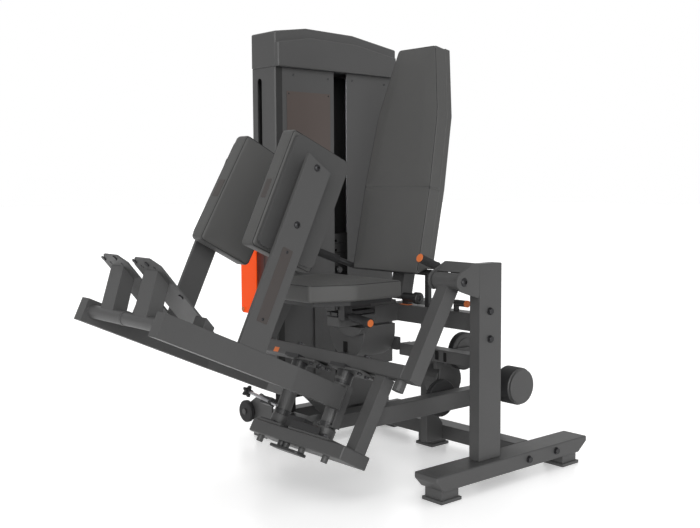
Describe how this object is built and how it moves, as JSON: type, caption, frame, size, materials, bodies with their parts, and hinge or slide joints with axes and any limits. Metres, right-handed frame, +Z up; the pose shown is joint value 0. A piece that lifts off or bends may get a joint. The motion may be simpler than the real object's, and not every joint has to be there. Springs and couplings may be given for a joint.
{
  "type": "strength_training_machine",
  "caption": "Multi hip machine: padded seat and backrest, tilting leg carriage with two swinging arms, weight tower with selector pin",
  "frame": {"origin": "middle of the machine's footprint, on the floor", "axes": "the user sits facing -Y; +X is the side of the single upright, -X the weight tower's, on the user's right; +Z is up; right and left in names are as seen from the front"},
  "size_m": [1.144, 1.4964, 1.534],
  "materials": {
    "dark_grey_paint": "satin powder coat",
    "black_paint": "satin",
    "grey_upholstery": "fine grain",
    "black_rubber": "matte",
    "bright_steel": "polished",
    "weight_iron": "matte",
    "orange_plastic": "satin",
    "black_board": "matte"
  },
  "bodies": {
    "frame": {"right_foot_beam": "dark_grey_paint", "floor_beam": "dark_grey_paint", "right_upright": "dark_grey_paint", "pivot_bracket": "dark_grey_paint", "right_pivot_shaft": "black_paint", "left_pivot_shaft": "black_paint", "seat_frame": "dark_grey_paint", "slotted_tube": "dark_grey_paint", "seat_column": "dark_grey_paint", "drum_cover": "dark_grey_paint", "backrest_frame": "black_board", "backrest_pad": "grey_upholstery", "handle_bar": "black_paint", "left_grip": "black_rubber", "right_grip": "black_rubber", "pulley_boom": "dark_grey_paint", "rubber_stop": "black_rubber", "tower_base": "dark_grey_paint", "tower_posts": "dark_grey_paint", "near_shroud": "dark_grey_paint", "far_shroud": "dark_grey_paint", "front_panel": "dark_grey_paint", "rear_panel": "dark_grey_paint", "placard": "black_board", "header_cap": "dark_grey_paint", "header_panel": "dark_grey_paint", "near_guide_rod": "bright_steel", "far_guide_rod": "bright_steel", "weight_stack": "weight_iron", "side_guard": "orange_plastic", "plunger_barrel": "black_paint"},
    "seat": {"seat_pad": "grey_upholstery", "seat_pan": "black_paint"},
    "seat_pin": {"seat_knob": "black_rubber"},
    "tilt_pin": {"plunger_knob": "orange_plastic"},
    "carriage": {"right_side_tube": "dark_grey_paint", "left_side_tube": "dark_grey_paint", "cross_tube": "dark_grey_paint", "lower_frame": "dark_grey_paint", "right_arm_pin": "black_paint", "left_arm_pin": "black_paint"},
    "right_leg": {"right_arm": "dark_grey_paint", "right_arm_pad_bar": "dark_grey_paint", "right_arm_pad_board": "black_board", "right_arm_pad": "grey_upholstery", "right_arm_foot_plate": "dark_grey_paint"},
    "left_leg": {"left_arm": "dark_grey_paint", "left_arm_pad_bar": "dark_grey_paint", "left_arm_pad_board": "black_board", "left_arm_pad": "grey_upholstery", "left_arm_foot_plate": "dark_grey_paint"},
    "stack": {"lifted_plates": "weight_iron", "selector_rod": "bright_steel"},
    "pin": {"selector_pin": "orange_plastic"},
    "drum_rear": {"rear_drum": "dark_grey_paint"},
    "drum_middle": {"middle_drum": "dark_grey_paint"},
    "pulley_boom_side": {"boom_pulley": "dark_grey_paint"},
    "pulley_upper": {"upper_pulley": "dark_grey_paint"},
    "wheel_near": {"near_wheel": "black_rubber"},
    "wheel_far": {"far_wheel": "black_rubber"}
  },
  "joints": [
    {"name": "carriage_tilt", "type": "hinge", "parent": "frame", "child": "carriage", "pos_m": [0.522, 0.1645, 0.6621], "axis": [1, 0, 0], "range_deg": [-20, 0]},
    {"name": "right_leg_swing", "type": "hinge", "parent": "carriage", "child": "right_leg", "pos_m": [0.197, 0.12825, 0.679], "axis": [0, 0.4226, 0.9063], "range_deg": [0, 40]},
    {"name": "left_leg_swing", "type": "hinge", "parent": "carriage", "child": "left_leg", "pos_m": [-0.047, 0.12825, 0.679], "axis": [0, 0.4226, 0.9063], "range_deg": [-40, 0]},
    {"name": "stack_lift", "type": "slide", "parent": "frame", "child": "stack", "axis": [0, 0, 1], "range_m": [0, 0.28]},
    {"name": "pin_pull", "type": "slide", "parent": "stack", "child": "pin", "axis": [1, 0, 0], "range_m": [0, 0.07]},
    {"name": "seat_slide", "type": "slide", "parent": "frame", "child": "seat", "axis": [0, 1, 0], "range_m": [-0.06, 0.02]},
    {"name": "seat_pin_pull", "type": "slide", "parent": "seat", "child": "seat_pin", "axis": [1, 0, 0], "range_m": [0, 0.012], "stiffness_N_per_m": 400},
    {"name": "tilt_pin_pull", "type": "slide", "parent": "frame", "child": "tilt_pin", "axis": [1, 0, 0], "range_m": [0, 0.012], "stiffness_N_per_m": 400},
    {"name": "rear_drum_spin", "type": "hinge", "parent": "frame", "child": "drum_rear", "pos_m": [0.3903, 0.5682, 0.266], "axis": [1, 0, 0], "continuous": true},
    {"name": "middle_drum_spin", "type": "hinge", "parent": "frame", "child": "drum_middle", "pos_m": [0.207, 0.4072, 0.282], "axis": [1, 0, 0], "continuous": true},
    {"name": "boom_pulley_spin", "type": "hinge", "parent": "frame", "child": "pulley_boom_side", "pos_m": [0.2797, 0.3232, 0.2395], "axis": [1, 0, 0], "continuous": true},
    {"name": "upper_pulley_spin", "type": "hinge", "parent": "frame", "child": "pulley_upper", "pos_m": [0.298, 0.4132, 0.3925], "axis": [1, 0, 0], "continuous": true},
    {"name": "near_wheel_spin", "type": "hinge", "parent": "frame", "child": "wheel_near", "pos_m": [-0.53, 0.0792, 0.095], "axis": [0, 1, 0], "continuous": true},
    {"name": "far_wheel_spin", "type": "hinge", "parent": "frame", "child": "wheel_far", "pos_m": [-0.53, 0.6872, 0.095], "axis": [0, 1, 0], "continuous": true}
  ],
  "couplings": [
    {"joint": "left_leg_swing", "follows": "right_leg_swing", "ratio": -1},
    {"joint": "stack_lift", "follows": "right_leg_swing", "m_per_rad": 0.4}
  ]
}
